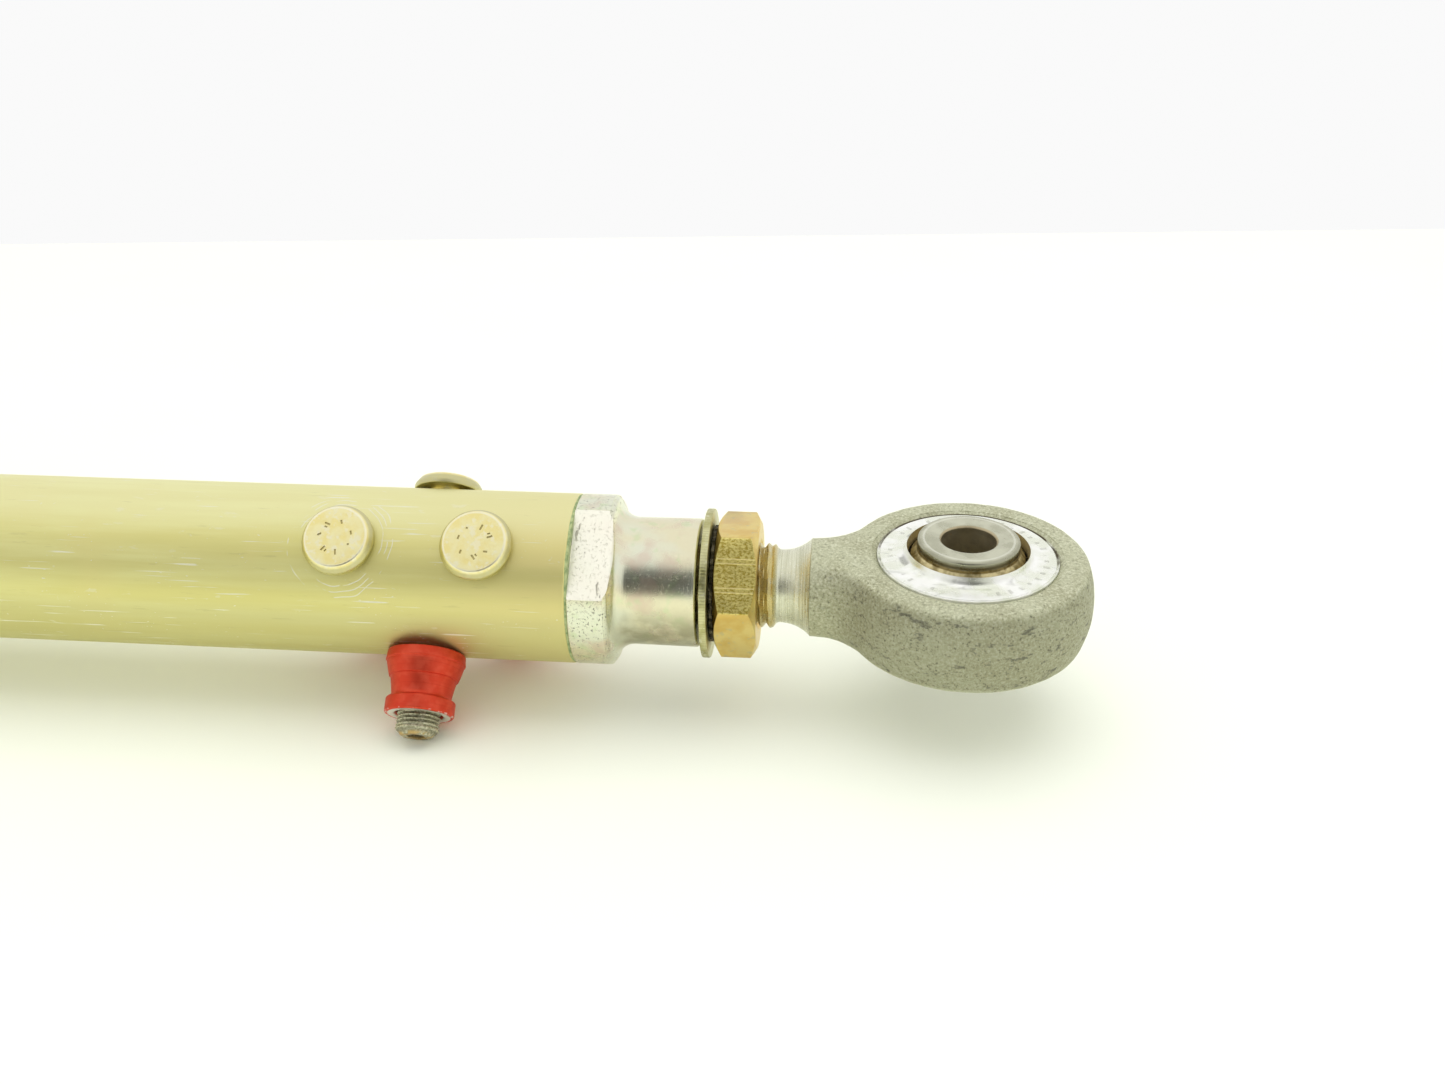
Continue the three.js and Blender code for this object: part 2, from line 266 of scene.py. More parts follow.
def end_fitting():
    plug_end, front = span("end_fitting_a")
    back = span("sealant_ring_a")[1]
    neck, plug, socket = 9.5, 10.95, 6.5
    socket_floor, flange_front, fillet_radius = -64.5, -51.95, 2.75
    neck_start, cut = -48.45, 10
    fillet = [Vector((12.45, -51.75)), Vector((12.15, -51.35))]
    fillet += arc((neck + fillet_radius, neck_start), fillet_radius, 270, 180, 10)[1:]
    corners = outline(
        (0, plug_end, 0),
        (10.1, plug_end, 0.3),
        (plug, plug_end + 0.9, 0.3),
        (plug, back, 0),
        (TUBE_RADIUS, back, 0.18),
        (TUBE_RADIUS, flange_front, 0.2),
        (neck, front - 0.01, 0.35),
        (6.95, front - 0.01, 0.1),
        (socket, front - 0.5, 0),
        (socket, socket_floor, 0),
        (0, socket_floor, 0),
    )
    # The plug and the flange, the fillet, and then the neck's face and the socket.
    neck_face = next(k for k, point in enumerate(corners) if point.y > neck_start)
    profile = [*corners[:neck_face], *fillet, *corners[neck_face:]]
    mesh = revolve(profile, 192)
    for side in SIDES.values():
        offset = Vector((math.cos(FLAT_ANGLE), math.sin(FLAT_ANGLE), 0)) * side * (FLAT + cut / 2)
        centre = offset + Vector((0, 0, (back + front) / 2))
        mesh = combined(mesh, block((cut, 30, front - back), centre, FLAT_ANGLE), "DIFFERENCE")
    for drill in pin_drills(PIN_ANGLES, PIN_HOLE):
        mesh = combined(mesh, moved(drill, ROD_AXIS.inverted()), "DIFFERENCE")
    return mesh


def sealant_ring():
    back, front = span("sealant_ring_a")
    middle = (back + front) / 2

    def squeeze(radius, height, angle):
        if radius < 12:
            return radius, height
        wave = noise.noise(Vector((4 * math.cos(angle), 4 * math.sin(angle), 0.3)))
        return radius + 0.1 * wave, height + 0.06 * (height - middle) * wave

    profile = outline(
        (11.15, back, 0),
        (12.55, back, 0.12),
        (12.62, middle, 0.2),
        (12.55, front, 0.12),
        (11.15, front, 0),
    )
    return revolve(profile, 160, squeeze)


def pin_marks(top):
    """Plain stamped strokes and dots in a ring on a pin's head."""
    marks = []
    for k in range(7):
        angle = 2 * math.pi * k / 7 + random.uniform(-0.12, 0.12)
        turn = angle + random.choice((0, math.pi / 2, 0.6))
        length = random.choice((0.85, 0.6, 0.3))
        centre = Vector((2.35 * math.cos(angle), 2.35 * math.sin(angle), top))
        marks.append(block((length, 0.28, 0.26), centre, turn))
        if length > 0.5 and k % 2:
            beside = Vector((-math.sin(turn), math.cos(turn), 0)) * 0.5
            marks.append(block((0.5 * length, 0.24, 0.26), centre + beside, turn))
    return joined(*marks)


def fastening_pin():
    tip, seat, top = -25.3, TUBE_RADIUS + 0.05, TUBE_RADIUS + 1.95
    shank, thread_start, thread_end = 3.175, -24.4, -14.0
    head = outline(
        (0, tip, 0),
        (2.3, tip, 0.06),
        (shank, tip + 0.9, 0.06),
        (shank, thread_start, 0),
        (shank, thread_end, 0),
        (shank, seat, 0),
        (5.2, seat, 0.15),
        (5.3, seat + 0.72, 0.25),
        (4.55, top, 0.22),
        (0, top, 0),
    )
    turned = [p for p in head if p.y < thread_start]
    turned += ladder(shank, thread_start, thread_end, PIN_PITCH / 6)
    turned += [p for p in head if p.y > thread_end]
    mesh = revolve(turned, 64, thread(shank, PIN_PITCH, thread_start, thread_end, 0.3))
    hexagon = [(1.44 * math.cos(a), 1.44 * math.sin(a)) for a in (math.pi * k / 3 for k in range(6))]
    mesh = combined(mesh, extrude(hexagon, tip - 1, tip + 2.6), "DIFFERENCE")
    return combined(mesh, pin_marks(top), "DIFFERENCE")


def collar():
    profile = outline(
        (3.33, -12.85, 0.1),
        (5.72, -12.85, 0.2),
        (5.87, -14.3, 0.1),
        (5.66, -14.42, 0.05),
        (5.66, -14.7, 0.3),
        (5.25, -16.2, 0.5),
        (5.08, -16.68, 0.06),
        (4.84, -16.76, 0.05),
        (4.82, -17.0, 0.1),
        (4.62, -18.0, 0.6),
        (4.4, -19.35, 0.5),
        (4.48, -19.8, 0.15),
        (4.98, -19.92, 0.12),
        (5.1, -20.15, 0.1),
        (5.1, -22.0, 0.15),
        (4.9, -22.2, 0.08),
        (3.75, -22.2, 0.05),
        (3.33, -21.9, 0.05),
    )
    return revolve(profile, 112)


def key_washer():
    back, front = span("key_washer_a")
    bore, rim, edge = 6.75, 11.1, 0.14

    def notched(radius, height, angle):
        if radius < 10.9:
            return radius, height
        tick = max(0, math.cos(150 * angle)) ** 4
        return radius - 0.03 * tick, height

    profile = outline(
        (bore, back, 0.05),
        (rim, back, edge),
        (rim, front, edge),
        (bore, front, 0.05),
        steps=3,
    )
    mesh = revolve(profile, 600, notched)
    tongue = block((2.8, 1.9, front - back - 0.04), Vector((0, -6.2, (back + front) / 2)))
    return combined(mesh, tongue, "UNION")


def lock_ring():
    back, front = span("lock_ring_a")

    def toothed(radius, height, angle):
        if radius < 8:
            return radius, height
        tooth = min(1, max(0, 2 * math.cos(28 * angle) + 0.6))
        return radius - 0.4 * (1 - tooth), height

    bore, rim = 6.75, 8.7
    profile = outline((bore, back, 0), (rim, back, 0.08), (rim, front, 0.08), (bore, front, 0), steps=2)
    return revolve(profile, 336, toothed)


ROUGH_FACE = NUT_CORNER - math.pi / 6  # the direction that the nut's rough, ridged flat faces


def nut_plan():
    """The nut's hexagon. The rough flat and the one opposite have two pairs of raised ridges."""
    corner, half = NUT_ACROSS_FLATS / math.sqrt(3), NUT_ACROSS_FLATS / 2
    pair, gap = 2.1, 0.32  # a pair's distance from the flat's middle, and half the gap in a pair
    ridges = [s * (pair + d) for s in (-1, 1) for d in (-gap, gap)]
    plan = []
    for k in range(6):
        angle = ROUGH_FACE + k * math.pi / 3
        normal = Vector((math.cos(angle), math.sin(angle)))
        side = Vector((-normal.y, normal.x))
        points = [(-corner / 2 + 0.12, 0)]
        if k % 3 == 0:
            for c in sorted(ridges):
                points += [(c - 0.16, 0), (c - 0.06, 0.11), (c + 0.06, 0.11), (c + 0.16, 0)]
        points.append((corner / 2 - 0.12, 0))
        plan += [normal * (half - 0.02 + rise) + side * along for along, rise in points]
    return plan


def jam_nut():
    back, front = span("jam_nut_a")
    corner = NUT_ACROSS_FLATS / math.sqrt(3) + 0.3
    chamfer = (corner - 9.3) * math.tan(math.radians(30))
    cone = outline(
        (0, back, 0),
        (9.3, back, 0.15),
        (corner, back + chamfer, 0),
        (corner, front - chamfer, 0),
        (9.3, front, 0.15),
        (0, front, 0),
    )
    mesh = combined(extrude(nut_plan(), back - 1, front + 1), revolve(cone, 160), "INTERSECT")
    bore = [(0, back - 1), (7.0, back - 1), (7.0, back), (6.5, back + 0.5)]
    bore += [(6.5, front - 0.5), (7.0, front), (7.0, front + 1), (0, front + 1)]
    return combined(mesh, revolve(bore, 96), "DIFFERENCE")


BODY_NECK = -22.55  # where the turned neck meets the rough forging


def turned_shank():
    """The threaded shank, its relief and the turned flare, in the end's frame."""
    tip = span("rod_end_body_a")[0]
    thread_end, relief, major = -28.2, 5.4, 6.3
    thread_start = tip + 1.4
    points = outline((0, tip, 0), (5.3, tip, 0.2), (major, tip + 1.0, 0.1), (major, thread_start, 0))
    points = points[:-1] + ladder(major, thread_start, thread_end, THREAD_PITCH / 8)
    points += [Vector(p) for p in ((6.15, -27.95), (5.6, -27.55), (5.42, -27.2))]
    run, rise = BODY_NECK + 27.0, 7.25 - relief
    sweep_radius = (run * run + rise * rise) / (2 * rise)
    sweep = math.degrees(math.asin(run / sweep_radius))
    curve = arc((-27.0, relief + sweep_radius), sweep_radius, -90, -90 + sweep, 16)
    points += [Vector((p.y, p.x)) for p in curve]
    points += [Vector((7.0, BODY_NECK + 0.6)), Vector((0, BODY_NECK + 0.6))]
    shape = thread(major, THREAD_PITCH, tip + 1.0, thread_end + 0.5, 0.72)
    shank = moved(revolve(points, 96, shape), ROD_AXIS)
    keyway_end = -34.5
    length = keyway_end - tip + 1
    keyway = block((length, 3.2, 3), Vector((keyway_end - length / 2, 0, -6.4)))
    return combined(shank, keyway, "DIFFERENCE")


def loft(sections, segments=72):
    """A skin through superellipses square to X, each (x, half width, half height, squareness)."""
    vertices = []
    for x, width, height, power in sections:
        for k in range(segments):
            c, s = math.cos(2 * math.pi * k / segments), math.sin(2 * math.pi * k / segments)
            y = math.copysign(abs(c) ** (2 / power), c) * width
            z = math.copysign(abs(s) ** (2 / power), s) * height
            vertices.append((x, y, z))
    last = len(vertices) - segments
    faces = [tuple(range(segments)), tuple(range(last, last + segments))]
    for start in range(0, last, segments):
        for k in range(segments):
            m = (k + 1) % segments
            faces.append((start + k, start + m, start + segments + m, start + segments + k))
    return mesh_from(vertices, faces)


def forged_eye():
    """The forging from neck to eye: plain solids blended into one skin, in the end's frame."""
    half, rim, crown = 6.35, 17.4, 1.08
    barrel = [(rim + crown * (1 - t * t), 5.75 * t) for t in (k / 8 - 1 for k in range(17))]
    bottom = [(0, -half), (rim - 0.6, -half)]
    top = [(rim - 0.6, half), (0, half)]
    profile = [*bottom, *barrel, *top]
    neck = [
        (-26, 7.25, 7.25, 2),
        (-22.5, 7.25, 7.25, 2),
        (-20.0, 7.25, 7.1, 2.3),
        (-18.2, 7.85, 6.9, 2.8),
        (-16.5, 9.1, 6.7, 3.4),
        (-14.6, 10.9, 6.5, 4.2),
        (-12.5, 12.8, 6.4, 5),
        (-10.2, 14.7, 6.35, 6),
        (-7.5, 16.3, 6.3, 6),
    ]
    mesh = applied(
        joined(revolve(profile, 128), loft(neck)),
        ("REMESH", {"mode": "VOXEL", "voxel_size": 0.34}),
        ("SMOOTH", {"factor": 0.5, "iterations": 9}),
    )
    for vertex in mesh.vertices:
        place = vertex.co
        lump = noise.noise(place * 0.42) + 0.5 * noise.noise(place * 1.1)
        vertex.co = place + vertex.normal * 0.045 * lump
    cut_back = block((10, 40, 40), Vector((BODY_NECK - 5, 0, 0)))
    mesh = combined(mesh, cut_back, "DIFFERENCE")
    seat = [(0, -9), (13.9, -9), (13.9, -6.3), (13.15, -5.9)]
    seat += [(13.15, 5.9), (13.9, 6.3), (13.9, 9), (0, 9)]
    return combined(mesh, revolve(seat, 160), "DIFFERENCE")


def outer_race():
    """The race's flat face rises, inside its foot, to a thin lip around the ball's neck."""
    wall, face, lip_height, sphere = 8.62, 6.3, 7.68, 10.58
    wall_start = math.sqrt(sphere**2 - wall**2)
    upper = outline(
        (wall, wall_start, 0),
        (8.86, lip_height, 0.07),
        (9.3, face + 0.12, 1.1),
        (11.2, face, 0.3),
        (12.62, face, 0.08),
        (12.8, face - 0.24, 0.06),
        (12.88, face - 0.22, 0.03),
        (12.97, face - 0.04, 0.04),
        (13.1, face - 0.1, 0.06),
        (13.1, 0, 0),
    )[:-1]

    # The race is staked: the metal outside its groove is pushed over in small, uneven bites.
    def staked(radius, height, angle):
        if not 12.7 < radius < 13.05 or abs(height) < 5.5:
            return radius, height
        bite = noise.noise(Vector((9 * math.cos(angle), 9 * math.sin(angle), 2.0)))
        return radius + 0.07 * bite, height - math.copysign(0.1 * abs(bite), height)

    reach = math.degrees(math.asin(wall_start / sphere))
    inside = arc((0, 0), sphere, -reach, reach, 16)[:-1]
    lower = [Vector((p.x, -p.y)) for p in reversed(upper)]
    return revolve([*inside, *upper, *lower[:-1]], 192, staked)


def liner():
    inner, outer, half = 10.3, 10.52, 4.6
    reach_in, reach_out = (math.degrees(math.asin(half / r)) for r in (inner, outer))

    def frayed(radius, height, angle):
        if abs(height) < half - 0.05:
            return radius, height
        return radius, height - math.copysign(0.12 * abs(math.sin(40 * angle)), height)

    inside = arc((0, 0), inner, -reach_in, reach_in, 12)
    outside = arc((0, 0), outer, reach_out, -reach_out, 12)
    return revolve([*inside, *outside], 160, frayed)


def ball():
    sphere, neck, face = 10.15, 7.37, 9.05
    reach = math.degrees(math.asin(6.1 / sphere))
    # Dried grease thickens the sphere next to its neck.
    upper = outline(
        (8.25, 6.4, 0.1),
        (neck + 0.04, 7.38, 0.12),
        (neck, 8.0, 0.1),
        (neck, face, 1.1),
        (4.3, face, 0.12),
        (3.97, face - 0.35, 0.1),
        (3.97, 0, 0),
    )[:-1]
    lower = [Vector((p.x, -p.y)) for p in reversed(upper)]
    return revolve([*arc((0, 0), sphere, -reach, reach, 36), *upper, *lower], 160)


# ---- Materials ----
class Shader:
    """A node material being built. Each method adds a node and gives its output socket."""

    def __init__(self, name):
        self.material = bpy.data.materials.new(name)
        self.material.use_nodes = True
        self.tree = self.material.node_tree
        self.tree.nodes.clear()
        row = self.node("ShaderNodeTexCoord", "Object")
        self.row = self.node("ShaderNodeVectorMath", inputs={0: row, 3: 1 / MM}, operation="SCALE")
        self.own = self.node("ShaderNodeAttribute", "Vector", attribute_name="own_mm")
        split = self.tree.nodes.new("ShaderNodeSeparateXYZ")
        self.tree.links.new(self.own, split.inputs[0])
        self.x, self.y, self.z = split.outputs
        flat = self.scaled(self.own, (1, 1, 0))
        self.radius = self.node("ShaderNodeVectorMath", "Value", {0: flat}, operation="LENGTH")
        self.angle = self.math("ARCTAN2", self.y, self.x)

    def node(self, kind, output=0, inputs=None, **settings):
        made = self.tree.nodes.new(kind)
        for key, value in settings.items():
            setattr(made, key, value)
        for key, value in (inputs or {}).items():
            self.feed(made.inputs[key], value)
        return made.outputs[output]

    def feed(self, socket, value):
        if isinstance(value, bpy.types.NodeSocket):
            self.tree.links.new(value, socket)
        else:
            socket.default_value = value

    def math(self, operation, a, b=0.0):
        return self.node("ShaderNodeMath", inputs={0: a, 1: b}, operation=operation)

    def times(self, *values):
        product = values[0]
        for value in values[1:]:
            product = self.math("MULTIPLY", product, value)
        return product

    def plus(self, *values):
        total = values[0]
        for value in values[1:]:
            total = self.math("ADD", total, value)
        return total

    def invert(self, value):
        return self.math("SUBTRACT", 1.0, value)

    def step(self, value, low, high, to_low=0.0, to_high=1.0):
        """A smooth step from to_low at low to to_high at high."""
        inputs = {"Value": value, "From Min": low, "From Max": high}
        inputs |= {"To Min": to_low, "To Max": to_high}
        return self.node("ShaderNodeMapRange", inputs=inputs, interpolation_type="SMOOTHSTEP")

    def band(self, value, low, high, soft):
        """1 between low and high, and 0 outside, with soft edges."""
        rise = self.step(value, low - soft, low + soft)
        return self.times(rise, self.step(value, high - soft, high + soft, 1.0, 0.0))

    def scaled(self, vector, scale):
        return self.node("ShaderNodeVectorMath", inputs={0: vector, 1: scale}, operation="MULTIPLY")

    def turned(self, vector, degrees):
        inputs = {"Vector": vector, "Angle": math.radians(degrees)}
        return self.node("ShaderNodeVectorRotate", inputs=inputs, rotation_type="Z_AXIS")

    def noise(self, vector, scale, detail=2.0, roughness=0.5):
        inputs = {"Vector": vector, "Scale": scale, "Detail": detail, "Roughness": roughness}
        return self.node("ShaderNodeTexNoise", "Fac", inputs)

    def mix(self, share, a, b, blend="MIX"):
        a, b = ((*c, 1.0) if isinstance(c, tuple) else c for c in (a, b))
        return self.node("ShaderNodeMix", 2, {0: share, 6: a, 7: b}, data_type="RGBA", blend_type=blend)

    def scratches(self, vector, stretch, scale, amount):
        """Thin straight lines, long in the direction where stretch is small."""
        lines = self.noise(self.scaled(vector, stretch), scale, 1.0)
        return self.step(lines, amount, amount + 0.03)

    def finish(self, colour, roughness, height=None, depth=0.05, metallic=1.0, **sockets):
        inputs = {"Base Color": colour, "Roughness": roughness, "Metallic": metallic, **sockets}
        if isinstance(colour, tuple):
            inputs["Base Color"] = (*colour, 1.0)
        if height is not None:
            bump = {"Height": height, "Strength": 1.0, "Distance": depth * MM}
            inputs["Normal"] = self.node("ShaderNodeBump", inputs=bump)
        surface = self.node("ShaderNodeBsdfPrincipled", inputs=inputs)
        output = self.tree.nodes.new("ShaderNodeOutputMaterial")
        self.tree.links.new(surface, output.inputs["Surface"])
        return self.material


def tube_material():
    s = Shader("chromate_tube")
    streaks = s.noise(s.scaled(s.row, (0.018, 0.28, 0.28)), 1.0, 4.0, 0.55)
    fine = s.noise(s.scaled(s.row, (0.05, 4.0, 4.0)), 1.0, 2.0)
    cloud = s.noise(s.row, 0.07, 3.0)
    colour = s.mix(s.step(streaks, 0.34, 0.68), (0.80, 0.75, 0.31), (0.88, 0.85, 0.42))
    colour = s.mix(s.step(cloud, 0.46, 0.66, 0.0, 0.5), colour, (0.84, 0.77, 0.34))
    near_end = s.step(s.math("ABSOLUTE", s.z), 62.0, 92.0)
    deeper = s.times(near_end, s.step(streaks, 0.3, 0.6, 0.35, 0.75))
    colour = s.mix(deeper, colour, (0.83, 0.73, 0.33))
    # Painted shade darkens the lower half, and a painted highlight makes the top a little paler.
    painted_under_shade = s.step(s.y, -2.5, 2.0, 1.0, 0.0)
    colour = s.mix(s.times(painted_under_shade, 0.48), colour, (0.56, 0.53, 0.27))
    colour = s.mix(s.step(s.y, 8.5, 12.4, 0.0, 0.4), colour, (0.90, 0.90, 0.62))
    # Long handling scratches down the tube, and short nicks across it, through to bare metal.
    long_lines = s.scratches(s.row, (0.08, 2.6, 2.6), 1.0, 0.67)
    nicks = s.scratches(s.turned(s.row, 24), (0.35, 3.2, 3.2), 0.8, 0.74)
    crossing = s.scratches(s.turned(s.row, -52), (0.3, 3.0, 3.0), 0.9, 0.75)
    worn = s.step(s.noise(s.row, 0.14, 2.0), 0.42, 0.62)
    marks = s.times(s.math("MAXIMUM", long_lines, s.math("MAXIMUM", nicks, crossing)), worn)
    marks = s.math("MAXIMUM", marks, tool_rings(s))
    dabs = s.step(s.noise(s.scaled(s.row, (0.3, 0.8, 0.8)), 1.0, 4.0), 0.66, 0.73)
    marks = s.math("MAXIMUM", marks, s.times(dabs, 0.35))
    colour = s.mix(s.times(marks, 0.8), colour, (0.93, 0.92, 0.80))
    dirt = s.step(s.noise(s.scaled(s.row, (0.15, 1.3, 1.3)), 1.0, 4.0, 0.6), 0.63, 0.72)
    colour = s.mix(s.times(dirt, 0.15), colour, (0.42, 0.38, 0.18))
    roughness = s.plus(s.step(streaks, 0.3, 0.7, 0.54, 0.61), s.times(marks, 0.1))
    height = s.plus(s.times(fine, 0.3), s.times(streaks, 0.25), s.times(marks, -0.5))
    return s.finish(colour, roughness, height, 0.02)


def tool_rings(s):
    """Broken circular scratches round a pin's head at each end, left by a turning tool."""
    pin_x = EYES["a"].x / MM + PIN_PLACES[1]
    along = s.math("SUBTRACT", s.math("ABSOLUTE", s.z), pin_x)
    facing = s.plus(s.times(s.x, math.cos(PIN_ANGLES[1])), s.times(s.y, math.sin(PIN_ANGLES[1])))
    across = s.plus(s.times(s.x, math.sin(PIN_ANGLES[1])), s.times(s.y, -math.cos(PIN_ANGLES[1])))
    distance = s.math("SQRT", s.plus(s.times(along, along), s.times(across, across)))
    wander = s.times(s.noise(s.own, 0.25, 1.0), 1.1)
    rings = s.math("SINE", s.times(s.plus(distance, wander), 8.5))
    broken = s.step(s.noise(s.own, 0.3, 2.0), 0.47, 0.55)
    near = s.times(s.band(distance, 6.0, 8.1, 0.2), s.step(facing, 2.0, 4.0))
    return s.times(s.step(rings, 0.72, 0.95), broken, near)


def fitting_material():
    s = Shader("turned_fitting")
    turning = s.noise(s.scaled(s.own, (0.05, 0.05, 5.0)), 1.0, 2.0)
    cloud = s.noise(s.row, 0.22, 3.0)
    tint = s.noise(s.scaled(s.row, (0.6, 1.0, 1.0)), 0.16, 2.0)
    colour = s.mix(s.step(tint, 0.35, 0.65), (0.80, 0.75, 0.53), (0.78, 0.80, 0.64))
    colour = s.mix(s.step(cloud, 0.5, 0.68, 0.0, 0.5), colour, (0.70, 0.52, 0.42))
    colour = s.mix(s.step(s.noise(s.row, 0.4, 2.0), 0.54, 0.7, 0.0, 0.45), colour, (0.60, 0.72, 0.42))
    # Painted shade darkens the neck's lower half, unevenly.
    uneven = s.step(s.noise(s.row, 0.3, 4.0, 0.6), 0.3, 0.6, 0.4, 1.0)
    painted_lower_shade = s.times(s.step(s.y, -3.5, 1.5, 1.0, 0.0), uneven, s.step(s.z, -51.0, -49.0))
    colour = s.mix(s.times(painted_lower_shade, 0.8), colour, (0.36, 0.34, 0.22))
    flange = s.step(s.z, -51.2, -50.6, 1.0, 0.0)
    pits = s.times(s.step(s.noise(s.row, 2.6, 3.0, 0.6), 0.58, 0.66), flange)
    patches = s.times(s.step(s.noise(s.row, 0.5, 2.0), 0.42, 0.56), pits)
    colour = s.mix(s.times(patches, 0.75), colour, (0.14, 0.14, 0.11))
    # The wrench flats carry a painted highlight and scuffs, with a few dark bruises.
    across = s.plus(s.times(s.x, math.cos(FLAT_ANGLE)), s.times(s.y, math.sin(FLAT_ANGLE)))
    distance = s.math("ABSOLUTE", across)
    flat = s.times(s.band(distance, FLAT - 0.03, FLAT + 0.04, 0.015), flange)
    colour = s.mix(s.times(flat, 0.85), colour, (0.98, 0.95, 0.83))
    bruise = s.times(flat, s.step(s.noise(s.scaled(s.row, (1.0, 0.35, 0.35)), 0.9, 3.0), 0.64, 0.7))
    colour = s.mix(s.times(bruise, 0.75), colour, (0.25, 0.23, 0.17))
    scuffs = s.scratches(s.turned(s.row, 70), (0.4, 3.5, 3.5), 0.9, 0.66)
    dull = s.plus(s.times(flat, 0.12), s.times(patches, 0.3))
    roughness = s.plus(s.step(cloud, 0.35, 0.65, 0.24, 0.28), dull)
    dents = s.plus(s.times(pits, 1.4), s.times(scuffs, 0.2), s.times(bruise, 0.6))
    height = s.math("SUBTRACT", s.times(turning, 0.5), dents)
    return s.finish(colour, roughness, height, 0.035, metallic=s.invert(s.times(flat, 0.45)))


def sealant_material():
    s = Shader("green_sealant")
    lumps = s.noise(s.row, 1.4, 3.0)
    colour = s.mix(s.step(lumps, 0.35, 0.65), (0.20, 0.28, 0.11), (0.42, 0.48, 0.22))
    return s.finish(colour, 0.55, lumps, 0.15, metallic=0.0)


def pin_material():
    s = Shader("cadmium_pin")
    cloud = s.noise(s.row, 0.5, 3.0)
    grain = s.noise(s.row, 3.0, 2.0)
    colour = s.mix(s.step(cloud, 0.35, 0.65), (0.88, 0.77, 0.33), (0.94, 0.87, 0.48))
    rubbed = s.step(s.noise(s.row, 0.9, 4.0, 0.6), 0.53, 0.62)
    colour = s.mix(s.times(rubbed, 0.55), colour, (0.92, 0.89, 0.68))
    # A painted highlight rings the top edge of the head, and painted shade darkens its side.
    edge = s.times(s.band(s.radius, 4.3, 4.62, 0.08), s.step(s.z, 14.2, 14.5))
    colour = s.mix(s.times(edge, 0.5), colour, (0.95, 0.93, 0.78))
    side = s.times(s.step(s.radius, 4.66, 4.95), s.step(s.z, 12.0, 12.5))
    colour = s.mix(s.times(side, 0.8), colour, (0.54, 0.51, 0.27))
    sunk = s.times(s.step(s.z, 14.3, 14.4), s.step(s.z, 14.5, 14.62, 1.0, 0.0))
    stamped = s.times(sunk, s.step(s.radius, 3.6, 3.8, 1.0, 0.0))
    colour = s.mix(s.times(stamped, 0.75), colour, (0.30, 0.23, 0.08))
    shank = s.step(s.z, 8.0, 10.0, 1.0, 0.0)
    bare = s.mix(s.step(grain, 0.4, 0.6), (0.36, 0.35, 0.24), (0.66, 0.64, 0.48))
    colour = s.mix(shank, colour, bare)
    root = s.times(s.band(s.z, -25.0, -20.0, 0.2), s.step(s.radius, 2.92, 3.1, 1.0, 0.0))
    colour = s.mix(s.times(root, 0.5), colour, (0.14, 0.13, 0.09))
    residue = s.times(s.step(s.z, -25.2, -24.7, 1.0, 0.0), s.step(s.noise(s.row, 0.9, 2.0), 0.4, 0.6))
    colour = s.mix(s.times(residue, 0.8), colour, (0.62, 0.42, 0.14))
    roughness = s.plus(s.step(cloud, 0.35, 0.65, 0.32, 0.44), s.times(shank, 0.1))
    return s.finish(colour, roughness, s.plus(s.times(grain, 0.5), s.times(cloud, 0.8)), 0.04)


def collar_material():
    s = Shader("red_anodised_collar")
    turning = s.noise(s.scaled(s.own, (0.08, 0.08, 6.0)), 1.0, 2.0)
    cloud = s.noise(s.row, 0.6, 2.0)
    colour = s.mix(s.step(cloud, 0.4, 0.7), (0.69, 0.068, 0.033), (0.77, 0.105, 0.055))
    colour = s.mix(s.step(turning, 0.55, 0.75, 0.0, 0.3), colour, (0.50, 0.035, 0.02))
    bare = s.times(s.step(s.z, -22.15, -22.02, 1.0, 0.0), s.step(s.radius, 4.5, 4.7, 1.0, 0.0))
    rim = s.times(s.step(s.z, -21.95, -22.1), s.step(s.noise(s.row, 1.5, 2.0), 0.54, 0.64), 0.6)
    colour = s.mix(s.math("MAXIMUM", bare, rim), colour, (0.85, 0.83, 0.76))
    return s.finish(colour, s.step(cloud, 0.35, 0.65, 0.46, 0.52), turning, 0.006)


def nut_material():
    s = Shader("gold_cadmium_nut")
    across = s.plus(s.times(s.x, math.cos(ROUGH_FACE)), s.times(s.y, math.sin(ROUGH_FACE)))
    distance = s.math("ABSOLUTE", across)
    rough = s.step(distance, 9.4, 9.46)
    cloud = s.noise(s.row, 0.35, 3.0)
    grain = s.noise(s.scaled(s.row, (1.0, 1.5, 1.5)), 2.4, 4.0, 0.7)
    smooth_gold = s.mix(s.step(cloud, 0.35, 0.65), (0.72, 0.50, 0.14), (0.80, 0.64, 0.24))
    scuffs = s.step(s.noise(s.row, 1.1, 3.0), 0.6, 0.66)
    smooth_gold = s.mix(s.times(scuffs, 0.4), smooth_gold, (0.56, 0.52, 0.32))
    rough_gold = s.mix(s.step(grain, 0.38, 0.58), (0.54, 0.40, 0.06), (1.0, 0.88, 0.32))
    colour = s.mix(rough, smooth_gold, rough_gold)
    ridge = s.step(distance, 9.54, 9.6)
    colour = s.mix(s.times(ridge, 0.7), colour, (0.86, 0.78, 0.42))
    foot = s.times(s.band(distance, 9.505, 9.545, 0.012), rough, 0.5)
    colour = s.mix(foot, colour, (0.18, 0.14, 0.04))
    roughness = s.plus(s.step(cloud, 0.35, 0.65, 0.28, 0.38), s.times(rough, 0.1))
    height = s.plus(s.times(grain, s.plus(s.times(rough, 1.0), 0.15)), s.times(scuffs, -0.2))
    return s.finish(colour, roughness, height, 0.05)


